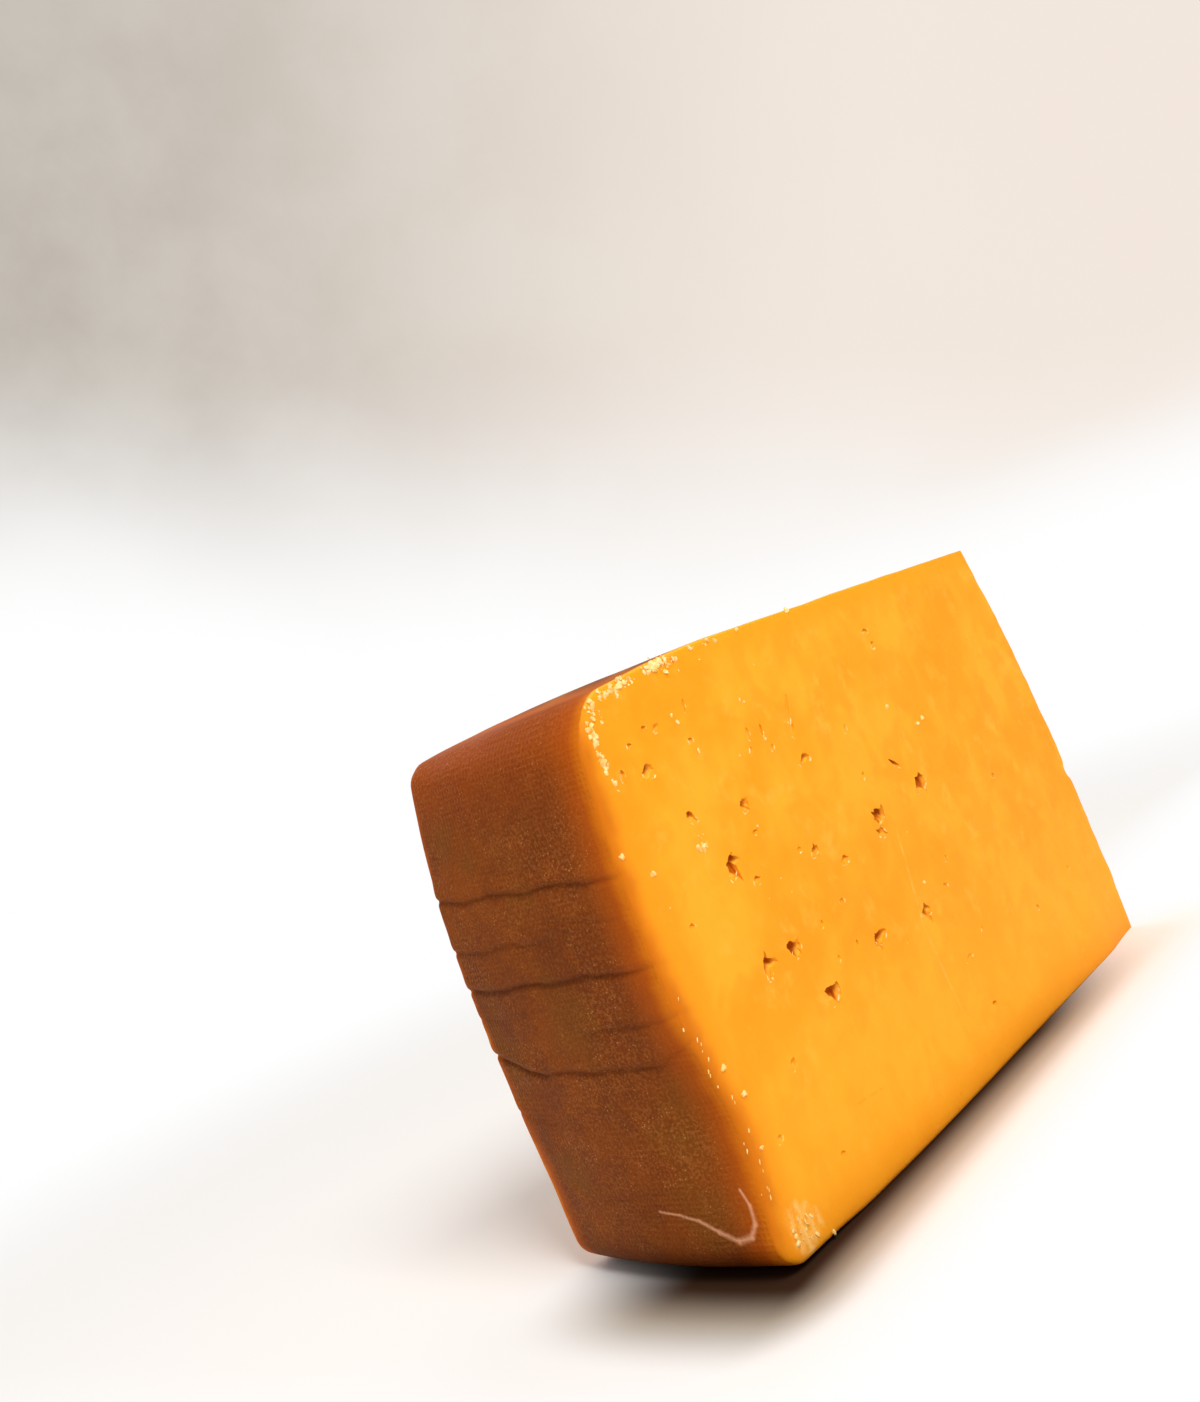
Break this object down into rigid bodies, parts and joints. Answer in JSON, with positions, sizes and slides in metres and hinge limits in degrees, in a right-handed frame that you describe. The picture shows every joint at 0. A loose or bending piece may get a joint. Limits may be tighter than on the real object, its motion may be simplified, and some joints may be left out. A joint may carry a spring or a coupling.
{
  "type": "smoked colby cheese wedge",
  "caption": "Narrow wedge of smoked colby cheese with a cloth-creased brown rim, two radial knife cuts with small openings, and rounded shoulders.",
  "frame": {"origin": "middle of the box's bottom, where the wheel's base rests on the table", "axes": "+Z along the wheel's axis from its base to its top; the rim faces -Y and the thin edge +Y; the near cut is a plane that faces +X"},
  "size_m": [0.0386, 0.1258, 0.073],
  "materials": {
    "cheese": "soft waxy sheen on the golden cuts, matte brown smoked rind with a cloth imprint",
    "crumbs": "matte, dry and crumbly"
  },
  "bodies": {
    "root": {"cheese_wedge": "cheese"}
  },
  "joints": []
}
